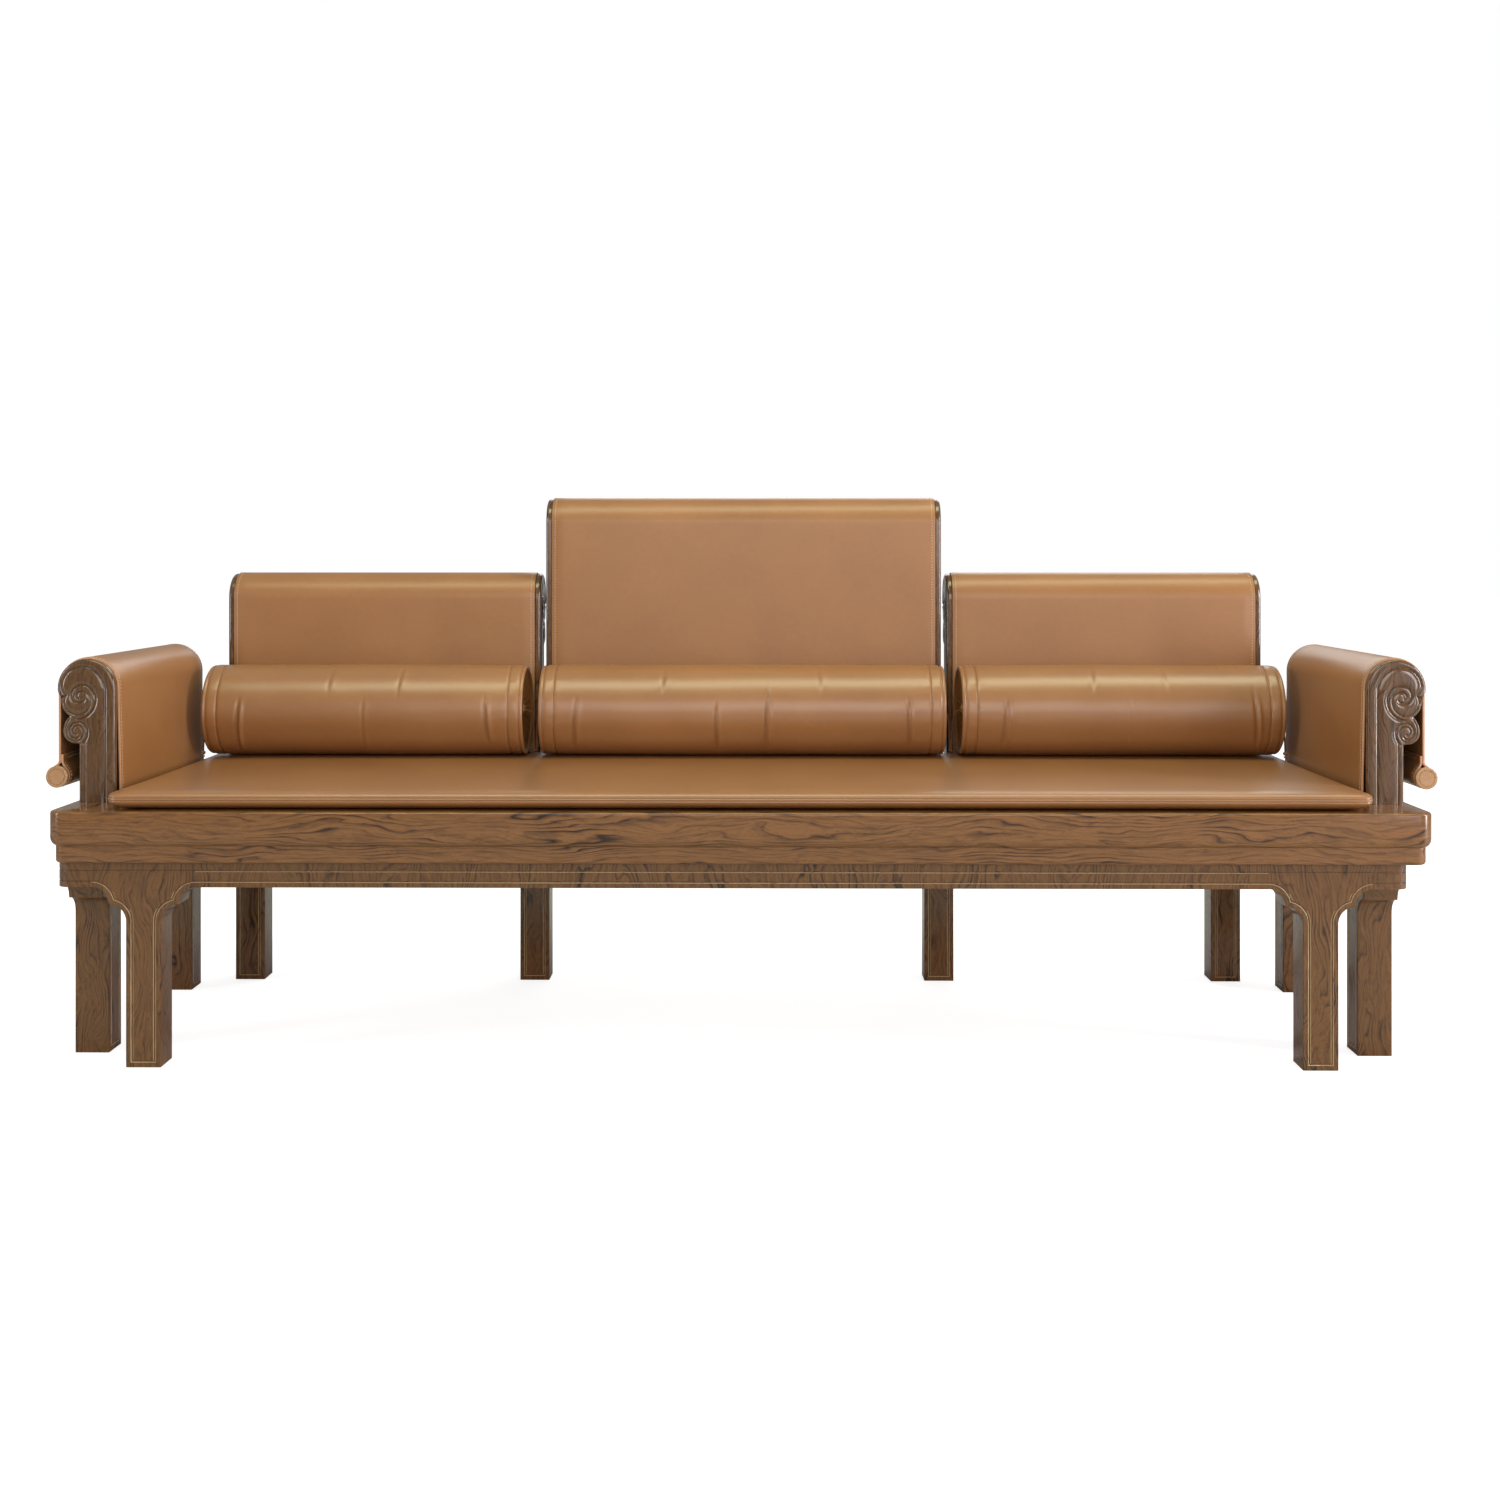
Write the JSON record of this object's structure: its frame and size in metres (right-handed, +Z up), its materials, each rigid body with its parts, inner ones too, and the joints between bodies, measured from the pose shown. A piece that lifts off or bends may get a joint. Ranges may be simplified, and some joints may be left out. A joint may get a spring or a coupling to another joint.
{
  "type": "settee",
  "caption": "Low wooden luohan settee: mitred seat frame on square legs, scroll-headed arms and stepped back with slung saddle leather, seat mattress and round bolsters.",
  "frame": {"origin": "bottom centre of the whole settee's bounding box, on the floor", "axes": "+X along the seat towards the right-hand arm as seen from the front, +Y from the front of the seat to its back, +Z up"},
  "size_m": [2.2838, 0.7358, 0.9282],
  "materials": {
    "walnut": "satin varnish",
    "saddle_leather": "smooth, semi-gloss",
    "rod_wood": "satin",
    "tie_cord": "waxed"
  },
  "bodies": {
    "frame": {"seat_rail_front": "walnut", "seat_rail_back": "walnut", "seat_rail_left": "walnut", "seat_rail_right": "walnut", "seat_board": "walnut", "batten_left": "walnut", "batten_centre": "walnut", "batten_right": "walnut", "leg_front_left": "walnut", "leg_front_right": "walnut", "leg_back_left": "walnut", "leg_back_middle_left": "walnut", "leg_back_middle_right": "walnut", "leg_back_right": "walnut", "leg_side_front_left": "walnut", "leg_side_rear_left": "walnut", "leg_side_front_right": "walnut", "leg_side_rear_right": "walnut", "apron_front": "walnut", "apron_back": "walnut", "apron_left": "walnut", "apron_right": "walnut", "right_arm_front_bracket": "walnut", "right_arm_rear_bracket": "walnut", "right_arm_core": "walnut", "right_arm_cover": "saddle_leather", "left_arm_front_bracket": "walnut", "left_arm_rear_bracket": "walnut", "left_arm_core": "walnut", "left_arm_cover": "saddle_leather", "centre_back_left_bracket": "walnut", "centre_back_right_bracket": "walnut", "centre_back_core": "walnut", "centre_back_cover": "saddle_leather", "right_back_left_bracket": "walnut", "right_back_right_bracket": "walnut", "right_back_core": "walnut", "right_back_cover": "saddle_leather", "left_back_left_bracket": "walnut", "left_back_right_bracket": "walnut", "left_back_core": "walnut", "left_back_cover": "saddle_leather"},
    "right_arm_fall": {"right_arm_fall": "saddle_leather", "right_arm_hem_rod": "rod_wood"},
    "left_arm_fall": {"left_arm_fall": "saddle_leather", "left_arm_hem_rod": "rod_wood"},
    "centre_back_fall": {"centre_back_fall": "saddle_leather", "centre_back_hem_rod": "rod_wood"},
    "right_back_fall": {"right_back_fall": "saddle_leather", "right_back_hem_rod": "rod_wood"},
    "left_back_fall": {"left_back_fall": "saddle_leather", "left_back_hem_rod": "rod_wood"},
    "seat_pad": {"seat_pad": "saddle_leather"},
    "bolster_left": {"bolster_left": "saddle_leather", "bolster_left_ties": "tie_cord"},
    "bolster_centre": {"bolster_centre": "saddle_leather", "bolster_centre_ties": "tie_cord"},
    "bolster_right": {"bolster_right": "saddle_leather", "bolster_right_ties": "tie_cord"}
  },
  "joints": [
    {"name": "right_arm_fall_hinge", "type": "hinge", "parent": "frame", "child": "right_arm_fall", "pos_m": [1.1249, 0, 0.5991], "axis": [0, -1, 0], "range_deg": [0, 75]},
    {"name": "left_arm_fall_hinge", "type": "hinge", "parent": "frame", "child": "left_arm_fall", "pos_m": [-1.1249, 0, 0.5991], "axis": [0, 1, 0], "range_deg": [0, 75]},
    {"name": "centre_back_fall_hinge", "type": "hinge", "parent": "frame", "child": "centre_back_fall", "pos_m": [0, 0.35095, 0.8779], "axis": [1, 0, 0], "range_deg": [0, 75]},
    {"name": "right_back_fall_hinge", "type": "hinge", "parent": "frame", "child": "right_back_fall", "pos_m": [0, 0.35095, 0.7328], "axis": [1, 0, 0], "range_deg": [0, 75]},
    {"name": "left_back_fall_hinge", "type": "hinge", "parent": "frame", "child": "left_back_fall", "pos_m": [0, 0.35095, 0.7328], "axis": [1, 0, 0], "range_deg": [0, 75]},
    {"name": "seat_pad_lift", "type": "slide", "parent": "frame", "child": "seat_pad", "axis": [0, 0, 1], "range_m": [0, 0.15]},
    {"name": "bolster_left_lift", "type": "slide", "parent": "seat_pad", "child": "bolster_left", "axis": [0, 0, 1], "range_m": [0, 0.25]},
    {"name": "bolster_centre_lift", "type": "slide", "parent": "seat_pad", "child": "bolster_centre", "axis": [0, 0, 1], "range_m": [0, 0.25]},
    {"name": "bolster_right_lift", "type": "slide", "parent": "seat_pad", "child": "bolster_right", "axis": [0, 0, 1], "range_m": [0, 0.25]}
  ]
}
